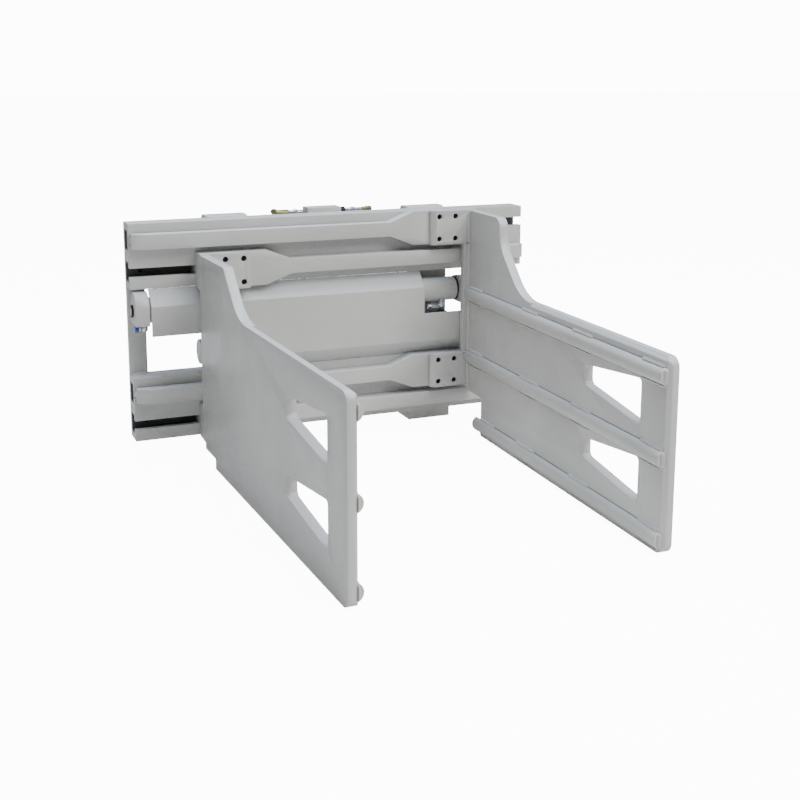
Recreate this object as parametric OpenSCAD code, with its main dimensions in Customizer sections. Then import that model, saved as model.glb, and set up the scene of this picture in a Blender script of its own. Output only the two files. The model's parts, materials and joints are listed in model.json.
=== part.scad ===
// Hydraulic bale clamp: a lift-truck attachment with two opposed arms that slide in a four-track frame.
// Millimetres. +Z is up, the arms point along -Y and the truck is on the +Y side.
// Modules draw in frame coordinates, where X = 0 is the centre plane, Y = 0 the front face of the rails
// and Z = 0 the underside of the lower rail. at_carriage() then moves the origin to the middle of the
// truck's carriage face, level with the seat of the upper hooks.

/* [Frame] */
// Width of the frame across the rails
frame_w = 1020; // [940:2:1300]
// Height of the frame, from the underside of the lower rail to the top of the upper rail
frame_h = 520; // [500:1:640]
// Height of each rail
rail_h = 153.5; // [150:0.5:160]
// Depth of each rail
rail_d = 61; // [60:0.5:75]
// Distance between the two tracks of a rail
track_pitch = 75; // [72:0.5:80]
// Height of the slot at the front of a track
slot_h = 21; // [16:0.5:26]
// Height of the channel inside a track
channel_h = 47; // [40:0.5:50]
// Depth of the channel inside a track
channel_d = 33; // [28:0.5:36]
// Thickness of the lip in front of a channel
lip_t = 13; // [8:0.5:16]
// Width of the uprights at the two ends of the frame
upright_w = 42; // [30:1:60]
// Thickness of the uprights
upright_t = 19; // [12:0.5:22]
// Width of the two stiles that tie the rails above the hooks
stile_w = 104; // [80:1:130]
// Distance of a stile's middle from the centre plane
stile_x = 262; // [230:1:330]
// Thickness of the stiles
stile_t = 20; // [12:0.5:21]

/* [Truck hooks] */
// Depth of the upper hook seat below the top of the upper rail
seat_drop = 20; // [14:0.5:30]
// Thickness of the hooks above and below the carriage
hook_t = 24; // [18:0.5:32]
// Thickness of the carriage lip that a hook holds
lip_gap = 22; // [18:0.5:30]
// Thickness of the nose of a hook
nose_t = 22; // [16:0.5:30]
// Height of the nose beyond the seat
nose_h = 16; // [10:0.5:20]
// Gap between the underside of the lower rail and the lower edge of the carriage
catch_drop = 8; // [4:0.5:14]
// Width of a lower hook
lower_hook_w = 116; // [90:1:130]
// Length of the foot of a lower hook under the rail
foot_l = 36; // [30:0.5:50]
// Shank diameter of the lower hook bolts
hook_bolt_d = 16; // [12:1:18]
// Width of the centring lug
lug_w = 16; // [12:0.5:25]

/* [Slide liners] */
// Wall thickness of the slide liners
liner_t = 4; // [3:0.5:5]
// Length of one slide liner
liner_l = 420; // [200:5:440]
// Running clearance between a slide bar and its liners
slide_gap = 0.3; // [0.1:0.05:0.6]
// Distance of a liner screw from the end of the frame
liner_screw_in = 33; // [20:1:60]

/* [Arms] */
// Opening between the two arm plates at the frame, arms closed
opening = 668; // [640:2:720]
// Travel of each arm
stroke = 560; // [300:10:560]
// Reach of the arms in front of the rails
reach = 970; // [900:5:1400]
// Thickness of an arm plate
plate_t = 22; // [14:0.5:28]
// Bevel on the inner side of a plate, along its top edge and its tip
plate_bevel = 8; // [2:0.5:8]
// Angle by which each arm leans inward towards its tip
toe = 1.5; // [0:0.1:2.5]
// Height of the arm plates in front of the neck
arm_h = 391.5; // [360:0.5:460]
// Depth of the arm plates below the frame
arm_drop = 44; // [10:1:60]
// Radius of the corners at the tip of an arm
tip_r = 23; // [5:1:50]
// Rise of an arm plate above the middle of its upper slide bar
ear_rise = 41; // [30:1:50]
// Depth of an arm plate's ear below the middle of its lower slide bar
ear_drop = 58.5; // [45:0.5:70]
// Distance from the rails to the rear edge of the plate below its ear
heel_s = 139.4; // [80:1:200]
// Depth of the neck at its top, from the rails
neck_depth = 231; // [190:1:280]
// Distance from the rails to the point where the neck meets the top edge
neck_start = 400; // [390:5:600]
// Radius of the lower sweep of the neck
sweep_low_r = 135; // [100:1:180]
// Radius of the upper sweep of the neck
sweep_top_r = 80; // [50:1:95]
// Radius of the top corner of the right arm's neck
right_corner_r = 25; // [10:1:30]
// Radius of the top corner of the left arm's neck
left_corner_r = 12; // [8:1:20]

/* [Cut-outs] */
// Distance from the rails to the rear edge of the cut-outs
cut_rear = 652; // [560:1:700]
// Distance from the front edge of the cut-outs to the tip of the arm
cut_margin = 95; // [60:1:140]
// Height of a cut-out at its rear edge
cut_rear_h = 43; // [30:1:60]
// Height of a cut-out at its front edge
cut_front_h = 95; // [60:1:120]
// Distance from the top edge of the arm to the front top corner of the upper cut-out
cut_top = 61.5; // [50:0.5:90]
// Drop of a cut-out's top edge from front to rear
cut_slope = 23; // [0:1:30]
// Distance between the two cut-outs
cut_pitch = 159.5; // [120:0.5:180]

/* [Ribs] */
// Width of the ribs on the inner face of an arm
rib_w = 36; // [16:1:40]
// Height of the ribs off the inner face
rib_h = 13; // [8:0.5:13]
// Distance from the top edge of the arm to the middle of the top rib
rib_top = 38.5; // [28:0.5:44]
// Distance between neighbouring ribs
rib_pitch = 163; // [140:0.5:170]
// Gap between the tip of the arm and the end of the ribs
rib_tip_gap = 9; // [9:0.5:40]
// Length of the bottom rib behind the heel of the plate
rib_tail = 24; // [0:1:40]

/* [Slide bars] */
// Height of a slide bar in front of the rails
bar_h = 35; // [28:0.5:44]
// Thickness of a slide bar in front of the rails
bar_t = 33; // [24:0.5:40]
// Gap between the rails and the slide bars
bar_gap = 2; // [1:0.5:4]
// Height of the neck of a slide bar inside the slot
bar_neck_h = 19; // [12:0.5:20]
// Height of a slide bar at its arm end
flare_h = 84; // [60:1:88]
// Length of a slide bar from the arm plate to its free end
bar_l = 840; // [800:5:920]
// Distance from the arm plate to the point where the bar becomes slender
flare_end = 206; // [170:1:260]
// Length of the tapered stretch of a slide bar
flare_l = 62; // [40:1:90]
// Chamfer along the bar at its free end
bar_end_l = 30; // [10:1:50]
// Chamfer across the bar at its free end
bar_end_d = 18; // [5:1:24]

/* [Mounting blocks] */
// Height of a mounting block
block_h = 86; // [70:1:90]
// Thickness of a mounting block
block_t = 20.7; // [16:0.1:30]
// Length of a mounting block inside the arm plate
block_l = 101; // [90:1:130]
// Chamfer on the inner edge of a mounting block
block_chamfer = 10; // [3:0.5:14]
// Distance from the arm plate to the nearer row of block screws
screw_in = 37.8; // [30:0.1:50]
// Distance between the two rows of block screws along the bar
screw_pitch_x = 44; // [30:0.5:50]
// Distance between the two rows of block screws up the block
screw_pitch_z = 56; // [45:0.5:62]
// Diameter of the counterbores for the block screws
bore_d = 14; // [12.5:0.1:16]
// Depth of the counterbores for the block screws
bore_depth = 14; // [10:0.5:15]
// Head diameter of the block screws
screw_head_d = 12.4; // [11:0.1:13.5]
// Shank diameter of the block screws
screw_d = 8; // [6:0.5:10]

/* [Web and rod lugs] */
// Width of the web between an arm's blocks, inside the arm plate
web_in = 15; // [8:1:25]
// Depth of the web
web_d = 17.7; // [10:0.1:17.7]
// Height of a rod lug
rod_lug_h = 66; // [64:1:84]
// Thickness of a rod lug
rod_lug_t = 16; // [10:1:25]
// Gap between the inner face of an arm plate and its rod lug, towards the centre
rod_lug_in = 11; // [8:1:15]
// Reach of a rod lug behind the rod's axis
rod_lug_back = 30; // [24:1:34]

/* [Cylinders] */
// Distance between the axes of the two cylinders
cyl_pitch = 110; // [100:1:120]
// Distance of the cylinder axes behind the front face of the rails
cyl_y = 6; // [2:0.5:8]
// Outer diameter of a cylinder barrel
barrel_d = 61; // [50:1:66]
// Bore of a cylinder barrel
bore_cyl = 50; // [36:1:54]
// Diameter of a piston rod
rod_d = 32; // [20:1:36]
// Thickness of a piston
piston_t = 40; // [20:1:50]
// Radial running fit of rods and pistons
running_fit = 0.05; // [0.02:0.01:0.1]
// Thickness of the base of a barrel
barrel_base_t = 15; // [10:1:25]
// Length of a gland inside its barrel
gland_l = 40; // [20:1:60]
// Diameter of the collar of a gland
collar_d = 62; // [61:1:66]
// Thickness of the collar of a gland
collar_t = 3; // [2:0.5:10]
// Gap between a gland and its rod lug, arms closed
lug_gap = 2; // [1:0.5:10]
// Diameter of the spigot at the base of a barrel
spigot_d = 20; // [12:1:22]
// Diameter of the threaded ends of a rod
thread_d = 24; // [16:1:30]
// Diameter of a rod nut
rod_nut_d = 60; // [40:1:60]
// Thickness of a rod nut
rod_nut_t = 12; // [8:1:20]
// Thickness of the closed end of a rod nut
nut_floor_t = 3; // [2:0.5:5]
// Width of a base bracket along the cylinder
base_w = 33; // [25:1:45]
// Distance from the end of the frame to a base bracket
base_in = 5; // [4:0.5:12]
// Depth of a base bracket
base_d = 72; // [66:0.5:72]
// Reach of a base bracket beyond its cylinder axis, towards the rail
base_rise = 45; // [40:1:50]
// Reach of a base bracket beyond its cylinder axis, away from the rail
base_fall = 32; // [31:1:40]
// Diameter of a base nut
base_nut_d = 30; // [28:1:46]

/* [Cylinder cover] */
// Thickness of the cover sheet
cover_t = 3; // [2:0.5:4]
// Length of the cover
cover_l = 938; // [800:2:1000]
// Distance of the cover's face in front of the rails
cover_front = 34; // [33:0.5:35]
// Height of the flat face of the cover
cover_face_h = 138; // [130:1:142]
// Height of the whole cover, with its folded edges
cover_h = 213; // [190:1:213]
// Distance from the centre plane to the two notches
notch_x = 222; // [180:1:240]
// Distance from mid height to the edge of a notch
notch_z = 2; // [0:0.5:4]
// Diameter of the spacers behind the cover
spacer_d = 14; // [10:0.5:16]
// Distance of the spacer axes from mid height
spacer_z = 12; // [10:0.5:13]

/* [Ports and manifold] */
// Diameter of the ports' fittings
fitting_d = 16; // [12:1:20]
// Distance from a cylinder axis to its port fittings
fitting_drop = 41; // [40:0.5:46]
// Length of the manifold
manifold_l = 86; // [60:1:120]
// Depth of the manifold
manifold_d = 46; // [36:1:60]
// Height of the manifold
manifold_h = 28; // [24:1:35]
// Distance of the manifold's middle from the centre plane, to the left
manifold_off = 10; // [0:1:30]
// Gap between the manifold and the top edge of the truck's carriage
manifold_gap = 3; // [2:0.5:4]
// Diameter of the inlet fittings
inlet_d = 15; // [12:0.5:18]
// Length of the right inlet adapter
right_inlet_l = 64; // [50:1:80]
// Length of the left inlet adapter
left_inlet_l = 45; // [30:1:60]

/* [Hidden] */

$fn = 96;

// Spare length of a cutting tool past the face it leaves
over = 1;
// Radial clearance of a shank in its hole
shank_fit = 0.05;
// Chamfers on the outer corners and on the inner corners of the hooks
hook_chamfer = 8;
nose_chamfer = 6;
// Screws: diameter and height of the head, diameter and grip of the shank
liner_head = [12, 3];
liner_shank = [6, 10];
cover_head = [12, 8];
cover_shank = [6, 16];
manifold_head = [10, 5];
manifold_shank = [6, 13];
// Place of a manifold screw: distance from the manifold's end, and height above its underside
manifold_screw_in = 14;
manifold_screw_up = 10.5;
// Depth of the inlet axis below the top of the manifold
inlet_drop = 11;
// Distance of the port fittings in front of the cylinder axes
port_front = 16;
// Reach of a port elbow, lengths of its hexagon at the base and at the rod end, and of a cap
elbow_l = 9;
base_hex_l = 5;
rod_hex_l = 20;
cap_l = 9;
// Corner radii of a cut-out, from its front top corner round to its front bottom corner
cut_r = [10, 12, 14, 4];
// Height of the upper sweep's middle above the upper track
sweep_lift = 11;
RIGHT = 0;
LEFT = 1;
PAINT = [0.74, 0.75, 0.74];
LINER = [0.16, 0.17, 0.17];
BLACK = [0.10, 0.10, 0.11];
STEEL = [0.72, 0.73, 0.74];
CHROME = [0.85, 0.86, 0.87];
ZINC = [0.63, 0.58, 0.36];
BLUE = [0.13, 0.27, 0.62];

// Heights of the tracks: the right arm rides in the upper track of each rail, the left arm in the lower
rail_z = [frame_h - rail_h / 2, rail_h / 2];
function track_z(arm, rail) = rail_z[rail] + (arm == RIGHT ? 1 : -1) * track_pitch / 2;
mid_z = frame_h / 2;
seat_z = frame_h - seat_drop;
window_h = frame_h - 2 * rail_h;
end_x = frame_w / 2;
frame_floor = track_z(LEFT, 1) - channel_h / 2;

// Slide bar section, from the front: slender flange, neck, then the head inside the liners
head_y0 = lip_t + liner_t + slide_gap;
head_d = channel_d - 2 * liner_t - 2 * slide_gap;
head_h = channel_h - 2 * liner_t - 2 * slide_gap;
bar_front = bar_gap + bar_t;
block_front = bar_front + block_t;
block_x = opening / 2 + plate_t;

// Neck of the arm plate: centres of the two sweeps and their common tangent
arm_top = arm_h - arm_drop;
low_c = [neck_start, arm_top + sweep_low_r];
top_c = [neck_depth + sweep_top_r, track_z(RIGHT, 0) + sweep_lift];
neck_gap = norm(top_c - low_c);
neck_dir = (top_c - low_c) / neck_gap;
neck_cos = (sweep_low_r - sweep_top_r) / neck_gap;
neck_n = neck_cos * neck_dir + sqrt(1 - pow(neck_cos, 2)) * [-neck_dir[1], neck_dir[0]];

// Cylinders: upper one, whose rod drives the right arm; the lower one is its half turn about Y
cyl_z = mid_z + cyl_pitch / 2;
lug_x0 = opening / 2 - rod_lug_in;
nut_x = lug_x0 + rod_lug_t;
gland_x = lug_x0 - lug_gap;
barrel_x1 = gland_x - collar_t;
base_x = end_x - base_in;
barrel_x0 = -base_x + base_w;
piston_x = barrel_x0 + barrel_base_t + 2;
spacer_x = [-40, 38];

module at_carriage() { translate([0, -rail_d, seat_drop - frame_h]) children(); }
module half_turn() { translate([0, 0, frame_h]) rotate([0, 180, 0]) children(); }
module on_side(arm) { mirror([arm == LEFT ? 1 : 0, 0, 0]) children(); }

// Box from one corner to the opposite one
module span(a, b) { translate(a) cube(b - a); }

// Cylinder along X, from x0 to x1, about the axis at [y, z]
module rod_x(x0, x1, y, z, d) { translate([x0, y, z]) rotate([0, 90, 0]) cylinder(h = x1 - x0, d = d); }

// Cylinder along Y
module rod_y(x, y0, y1, z, d) { translate([x, y1, z]) rotate([90, 0, 0]) cylinder(h = y1 - y0, d = d); }

// Extrudes a YZ outline along X, from x0 to x1
module along_x(x0, x1) { translate([x0, 0, 0]) rotate([90, 0, 90]) linear_extrude(x1 - x0) children(); }

// Points along an arc about c, from one angle to another
function arc(c, r, from, to, n = 20) = [
    for (i = [0 : n]) let (a = from + (to - from) * i / n) c + r * [cos(a), sin(a)]
];

// Outline whose corners are arcs of the given radii
function unit(v) = v / norm(v);
function turn(u, v) = atan2(u[0] * v[1] - u[1] * v[0], u * v);
function corner_arc(a, p, b, r) =
    let (u = unit(a - p), v = unit(b - p), half = abs(turn(u, v)) / 2,
         c = p + unit(u + v) * r / sin(half), f = p + u * r / tan(half) - c, g = p + v * r / tan(half) - c,
         start = atan2(f[1], f[0]))
    arc(c, r, start, start + turn(f, g));
function rounded(points, radii) = [
    let (n = len(points))
    for (i = [0 : n - 1])
        for (q = corner_arc(points[(i + n - 1) % n], points[i], points[(i + 1) % n], radii[i])) q
];

// ---- Frame ----

module track_cut(z) {
    translate([-over, z - slot_h / 2]) square([lip_t + 2 * over, slot_h]);
    translate([lip_t, z - channel_h / 2]) square([channel_d, channel_h]);
}

module rail(i) {
    color(PAINT) difference() {
        along_x(-end_x, end_x) difference() {
            translate([0, rail_z[i] - rail_h / 2]) square([rail_d, rail_h]);
            for (arm = [RIGHT, LEFT]) track_cut(track_z(arm, i));
        }
        liner_screw_set(i, 2 * shank_fit);
        if (i == 0) manifold_screw_set(2 * shank_fit);
        if (i == 1) hook_bolt_holes();
    }
}

module upright(side) {
    color(PAINT) translate([side * (end_x - upright_w / 2), rail_d - upright_t / 2, mid_z])
        cube([upright_w, upright_t, window_h], center = true);
}

module stile(side) {
    color(PAINT) difference() {
        translate([side * stile_x, rail_d - stile_t / 2, mid_z])
            cube([stile_w, stile_t, window_h], center = true);
        cover_screw_set(2 * shank_fit, over);
    }
}

module upper_hook(side) {
    back = rail_d + lip_gap + nose_t;
    color(PAINT) translate([side * stile_x - stile_w / 2, 0, 0]) along_x(0, stile_w) polygon([
        [rail_d, seat_z], [rail_d + lip_gap, seat_z], [rail_d + lip_gap, seat_z - nose_h],
        [back - nose_chamfer, seat_z - nose_h], [back, seat_z - nose_h + nose_chamfer],
        [back, seat_z + hook_t - hook_chamfer], [back - hook_chamfer, seat_z + hook_t],
        [rail_d, seat_z + hook_t]
    ]);
}

module centring_lug() {
    top = seat_z + manifold_gap - 1;
    color(PAINT) span([-lug_w / 2, rail_d, seat_z - nose_h], [lug_w / 2, rail_d + lip_gap, top]);
}

module lower_hook(side) {
    back = rail_d + lip_gap + nose_t;
    color(PAINT) difference() {
        translate([side * stile_x - lower_hook_w / 2, 0, 0]) along_x(0, lower_hook_w) polygon([
            [rail_d - foot_l, 0], [rail_d, 0], [rail_d, -catch_drop], [rail_d + lip_gap, -catch_drop],
            [rail_d + lip_gap, nose_h - catch_drop], [back - nose_chamfer, nose_h - catch_drop],
            [back, nose_h - catch_drop - nose_chamfer], [back, hook_chamfer - catch_drop - hook_t],
            [back - hook_chamfer, -catch_drop - hook_t], [rail_d - foot_l, -catch_drop - hook_t]
        ]);
        hook_bolt_holes();
    }
}

// Bolts go up through the feet of the lower hooks into the rail's floor
hook_bolt_l = catch_drop + hook_t + frame_floor - 2;

module at_hook_bolts() {
    for (x = [-stile_x, stile_x], dx = [-lower_hook_w / 4, lower_hook_w / 4])
        translate([x + dx, rail_d - foot_l / 2, -catch_drop - hook_t]) children();
}

module hook_bolt_holes() {
    at_hook_bolts() {
        translate([0, 0, -over]) cylinder(h = hook_bolt_d + over, d = 1.5 * hook_bolt_d + 2 * shank_fit);
        translate([0, 0, over]) cylinder(h = hook_bolt_l, d = hook_bolt_d + 2 * shank_fit);
    }
}

module lower_hook_bolts() {
    color(BLACK) at_hook_bolts() difference() {
        union() {
            translate([0, 0, 1]) cylinder(h = hook_bolt_d - 1, d = 1.5 * hook_bolt_d);
            translate([0, 0, hook_bolt_d - 2]) cylinder(h = hook_bolt_l - hook_bolt_d + 2, d = hook_bolt_d);
        }
        cylinder(h = hook_bolt_d / 2, d = 0.8 * hook_bolt_d, $fn = 6);
    }
}

// ---- Slide liners ----

module liner_profile(z) {
    difference() {
        translate([lip_t, z - channel_h / 2]) square([channel_d, channel_h]);
        translate([lip_t + liner_t, z - channel_h / 2 + liner_t])
            square([channel_d - 2 * liner_t, channel_h - 2 * liner_t]);
        translate([lip_t - over, z - slot_h / 2]) square([liner_t + 2 * over, slot_h]);
    }
}

module liners(i) {
    color(LINER) difference() {
        for (arm = [RIGHT, LEFT], side = [-1, 1])
            translate([side * (end_x - liner_l / 2) - liner_l / 2, 0, 0])
                along_x(0, liner_l) liner_profile(track_z(arm, i));
        liner_screw_set(i, 2 * shank_fit);
    }
}

// Flat-head screws through the back of each liner into the rail
module liner_screw_set(i, gap) {
    y0 = lip_t + channel_d - liner_t + slide_gap;
    y1 = y0 + liner_head[1];
    for (arm = [RIGHT, LEFT], side = [-1, 1]) {
        x = side * (end_x - liner_screw_in);
        rod_y(x, y0 - (gap > 0 ? over : 0), y1, track_z(arm, i), liner_head[0] + gap);
        rod_y(x, y1 - over, lip_t + channel_d + liner_shank[1], track_z(arm, i), liner_shank[0] + gap);
    }
}

module liner_screws() { color(BLACK) for (i = [0, 1]) liner_screw_set(i, 0); }

// ---- Cylinder cover ----

// The folded edges end just behind the front faces of the rails, at the rails' inner edges
cover_edge_y = 2;
cover_edge_z = min(cover_h, window_h) / 2;
cover_outer = [
    [cover_edge_y, mid_z - cover_edge_z], [-cover_front, mid_z - cover_face_h / 2],
    [-cover_front, mid_z + cover_face_h / 2], [cover_edge_y, mid_z + cover_edge_z]
];
fold_dir = unit(cover_outer[3] - cover_outer[2]);
fold_in = [fold_dir[1], -fold_dir[0]] * cover_t;
fold_shift = cover_t * tan(acos(fold_dir[1]) / 2);

module cover_profile() {
    polygon(concat(cover_outer, [
        cover_outer[3] + fold_in, cover_outer[2] + [cover_t, -fold_shift],
        cover_outer[1] + [cover_t, fold_shift], cover_outer[0] + [fold_in[0], -fold_in[1]]
    ]));
}

module cylinder_cover() {
    color(PAINT) difference() {
        along_x(-cover_l / 2, cover_l / 2) cover_profile();
        cover_notch();
        half_turn() cover_notch();
    }
}

module cover_notch() {
    span(
        [notch_x, -cover_front - over, mid_z + notch_z],
        [cover_l / 2 + over, 2 * cover_t, mid_z + cover_h / 2 + over]
    );
}

module spacer_pair() {
    for (dx = spacer_x)
        rod_y(stile_x + dx, cover_t - cover_front, rail_d - stile_t, mid_z - spacer_z, spacer_d);
}

module cover_spacers() {
    color(STEEL) difference() {
        union() {
            spacer_pair();
            half_turn() spacer_pair();
        }
        cover_screw_set(2 * shank_fit, 0);
    }
}

// Screws that go in from the back of the stiles into the cover's spacers
module cover_screw_pair(gap, back) {
    head_y = rail_d - 1 - cover_head[1];
    z = mid_z - spacer_z;
    for (dx = spacer_x) {
        x = stile_x + dx;
        rod_y(x, head_y, rail_d - 1 + 2 * back, z, cover_head[0] + gap);
        rod_y(x, rail_d - stile_t - cover_shank[1], head_y + over, z, cover_shank[0] + gap);
    }
}

module cover_screw_set(gap, back) {
    cover_screw_pair(gap, back);
    half_turn() cover_screw_pair(gap, back);
}

// ---- Cylinders ----

module base_bracket() {
    color(PAINT) difference() {
        along_x(-base_x, barrel_x0) union() {
            translate([cyl_y - base_d / 2, cyl_z - base_fall])
                square([base_d, base_rise - base_d / 2 + base_fall]);
            translate([cyl_y, cyl_z + base_rise - base_d / 2]) circle(d = base_d);
        }
        rod_x(-base_x - over, barrel_x0 + over, cyl_y, cyl_z, spigot_d + 2 * shank_fit);
    }
}

module barrel() {
    color(PAINT) difference() {
        union() {
            rod_x(barrel_x0, barrel_x1, cyl_y, cyl_z, barrel_d);
            rod_x(-end_x, barrel_x0 + over, cyl_y, cyl_z, spigot_d);
        }
        rod_x(barrel_x0 + barrel_base_t, barrel_x1 + over, cyl_y, cyl_z, bore_cyl);
    }
}

module gland() {
    color(BLACK) difference() {
        union() {
            rod_x(barrel_x1, gland_x, cyl_y, cyl_z, collar_d);
            rod_x(barrel_x1 - gland_l, barrel_x1 + 1, cyl_y, cyl_z, bore_cyl - 2 * shank_fit);
        }
        rod_x(barrel_x1 - gland_l - over, gland_x + over, cyl_y, cyl_z, rod_d + 2 * running_fit);
    }
}

module base_nut() {
    color(BLACK) difference() {
        translate([-end_x, cyl_y, cyl_z]) rotate([0, 90, 0]) cylinder(h = base_in, d = base_nut_d, $fn = 6);
        rod_x(-end_x - over, -base_x + over, cyl_y, cyl_z, spigot_d + 2 * shank_fit);
    }
}

module base_nuts() {
    base_nut();
    half_turn() base_nut();
}

// One elbow at the base and one at the rod end, each with its outlet towards the base
port_y = cyl_y - port_front;
port_z = cyl_z - fitting_drop;
base_port_x = barrel_x0 - 2 - fitting_d / 2;
rod_port_x = notch_x + 56;

module port_elbow(x, top_z, hex_l) {
    x0 = x - elbow_l - hex_l;
    translate([x, port_y, port_z]) cylinder(h = top_z - port_z, d = fitting_d);
    translate([x, port_y, port_z]) sphere(d = fitting_d);
    rod_x(x0, x, port_y, port_z, fitting_d - 4);
    translate([x0, port_y, port_z]) rotate([0, 90, 0]) cylinder(h = hex_l, d = fitting_d, $fn = 6);
}

module port_pair() {
    plug_x = rod_port_x - elbow_l - rod_hex_l;
    port_elbow(base_port_x, cyl_z - base_fall, base_hex_l);
    rod_x(plug_x - cap_l, plug_x + over, port_y, port_z, fitting_d - 4);
    difference() {
        port_elbow(rod_port_x, cyl_z - barrel_d / 2 + 10, rod_hex_l);
        rod_x(rod_port_x - fitting_d, rod_port_x + fitting_d, cyl_y, cyl_z, barrel_d);
    }
}

module port_fittings() {
    color(STEEL) {
        port_pair();
        half_turn() port_pair();
    }
}

module port_cap() {
    x = base_port_x - elbow_l - base_hex_l;
    rod_x(x - cap_l, x, port_y, port_z, fitting_d - 2);
}

module port_caps() {
    color(BLUE) {
        port_cap();
        half_turn() port_cap();
    }
}

// ---- Manifold behind the top of the frame ----

manifold_x0 = -manifold_off - manifold_l / 2;
manifold_x1 = manifold_x0 + manifold_l;
manifold_y1 = rail_d + manifold_d;
manifold_z = seat_z + manifold_gap;
inlet_y = rail_d + manifold_d / 2;
inlet_z = manifold_z + manifold_h - inlet_drop;

module manifold_block() {
    color(PAINT) difference() {
        span([manifold_x0, rail_d, manifold_z], [manifold_x1, manifold_y1, manifold_z + manifold_h]);
        manifold_screw_set(2 * shank_fit);
    }
}

// Screws that go in from the rear, into the solid top of the upper rail
module manifold_screw_set(gap) {
    y = manifold_y1 - 1 - manifold_head[1];
    z = manifold_z + manifold_screw_up;
    for (x = [manifold_x0 + manifold_screw_in, manifold_x1 - manifold_screw_in]) {
        rod_y(x, y, manifold_y1 + (gap > 0 ? over : -1), z, manifold_head[0] + gap);
        rod_y(x, rail_d - manifold_shank[1], y + over, z, manifold_shank[0] + gap);
    }
}

module manifold_screws() { color(BLACK) manifold_screw_set(0); }

// Adapter from x outwards, with a hexagon halfway along
module inlet_adapter(x, length) {
    rod_x(x, x + length, inlet_y, inlet_z, inlet_d - 4);
    translate([x + length / 2, inlet_y, inlet_z]) rotate([0, 90, 0]) cylinder(h = 11, d = inlet_d, $fn = 6);
}

module inlet_adapters() {
    color(STEEL) {
        difference() {
            inlet_adapter(manifold_x1, right_inlet_l);
            rod_x(lock_x, lock_x + lock_l, inlet_y, inlet_z, inlet_d);
        }
        rod_x(lock_x - over, lock_x + lock_l + over, inlet_y, inlet_z, lock_bore_d - 2 * shank_fit);
        mirror([1, 0, 0]) inlet_adapter(-manifold_x0, left_inlet_l);
    }
}

// Lock ring on the neck of the right adapter
lock_x = manifold_x1 + 5;
lock_l = 12;
lock_bore_d = inlet_d - 6;

module inlet_lock_ring() {
    color(BLACK) difference() {
        rod_x(lock_x, lock_x + lock_l, inlet_y, inlet_z, inlet_d + 2);
        rod_x(lock_x - over, lock_x + lock_l + over, inlet_y, inlet_z, lock_bore_d);
    }
}

module inlet_unions() {
    color(ZINC) {
        x = manifold_x1 + right_inlet_l;
        rod_x(x, x + 8, inlet_y, inlet_z, inlet_d - 2);
        translate([x + 8, inlet_y, inlet_z]) rotate([0, 90, 0]) cylinder(h = 17, d = inlet_d + 1, $fn = 6);
        translate([manifold_x0 - left_inlet_l, inlet_y, inlet_z]) inlet_elbow();
    }
}

// Elbow whose outlet turns to the rear
module inlet_elbow() {
    bend = 30;
    rod_x(-bend, 0, 0, 0, inlet_d);
    translate([-bend, 0, 0]) sphere(d = inlet_d);
    rod_y(-bend, 0, 15, 0, inlet_d - 2);
    translate([-bend, 30, 0]) rotate([90, 0, 0]) cylinder(h = 16, d = inlet_d + 1, $fn = 6);
}

// ---- Arms, drawn on the right-hand side and mirrored for the left arm ----

plate_top = [for (arm = [RIGHT, LEFT]) track_z(arm, 0) + ear_rise];
ear_bottom = [for (arm = [RIGHT, LEFT]) track_z(arm, 1) - ear_drop];
corner_r = [right_corner_r, left_corner_r];

// Stands an outline of [distance from the rails, height] on the inner face of the arm, toe included
module on_plate() {
    translate([opening / 2, -block_front, 0]) rotate([0, 0, -toe]) translate([0, block_front, 0])
        rotate([90, 0, -90]) mirror([0, 0, 1]) children();
}

// Middle of the rounded top corner of the neck, touching the top edge and the upper sweep
function neck_corner(top, r) =
    [top_c[0] - sqrt(pow(sweep_top_r + r, 2) - pow(top_c[1] - top + r, 2)), top - r];

function plate_points(top, r, ear) =
    let (corner = neck_corner(top, r), d = corner - top_c,
         meet = 180 + atan2(-d[1], -d[0]), tangent = 180 + atan2(-neck_n[1], -neck_n[0]))
    concat(
        [[heel_s, -arm_drop]],
        arc([reach - tip_r, tip_r - arm_drop], tip_r, -90, 0),
        arc([reach - tip_r, arm_top - tip_r], tip_r, 0, 90),
        arc(low_c, sweep_low_r, 270, tangent),
        arc(top_c, sweep_top_r, tangent, meet),
        arc(corner, r, meet - 180, 90),
        [[block_front - over, top], [block_front - over, ear], [heel_s, ear]]
    );

function cut_out_points(i) =
    let (front = reach - cut_margin, z = arm_top - cut_top - i * cut_pitch, low = z - cut_slope - cut_rear_h)
    rounded([[front, z], [cut_rear, z - cut_slope], [cut_rear, low], [front, z - cut_front_h]], cut_r);

module plate_outline(arm) {
    difference() {
        polygon(plate_points(plate_top[arm], corner_r[arm], ear_bottom[arm]));
        for (i = [0, 1]) polygon(cut_out_points(i));
    }
}

// Bevels on the inner side of a plate: along the top edge and up the tip
module plate_bevels() {
    corner = [[over, over], [over, -plate_bevel - over], [-plate_bevel - over, over]];
    translate([neck_start, arm_top, 0]) rotate([0, 90, 0]) linear_extrude(reach) polygon(corner);
    translate([reach, -2 * arm_drop, 0]) rotate([-90, 0, 0]) linear_extrude(2 * arm_h) polygon(corner);
}

module plate(arm) {
    color(PAINT) on_side(arm) difference() {
        on_plate() difference() {
            linear_extrude(plate_t) plate_outline(arm);
            plate_bevels();
        }
        translate([0, -block_front, -2 * arm_drop]) cube([opening, block_front, 2 * frame_h]);
    }
}

// Ribs are bars of D section welded along the inner face
rib_r = (pow(rib_w / 2, 2) + pow(rib_h, 2)) / (2 * rib_h);
rib_start = [block_front, block_front, heel_s - rib_tail];

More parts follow.
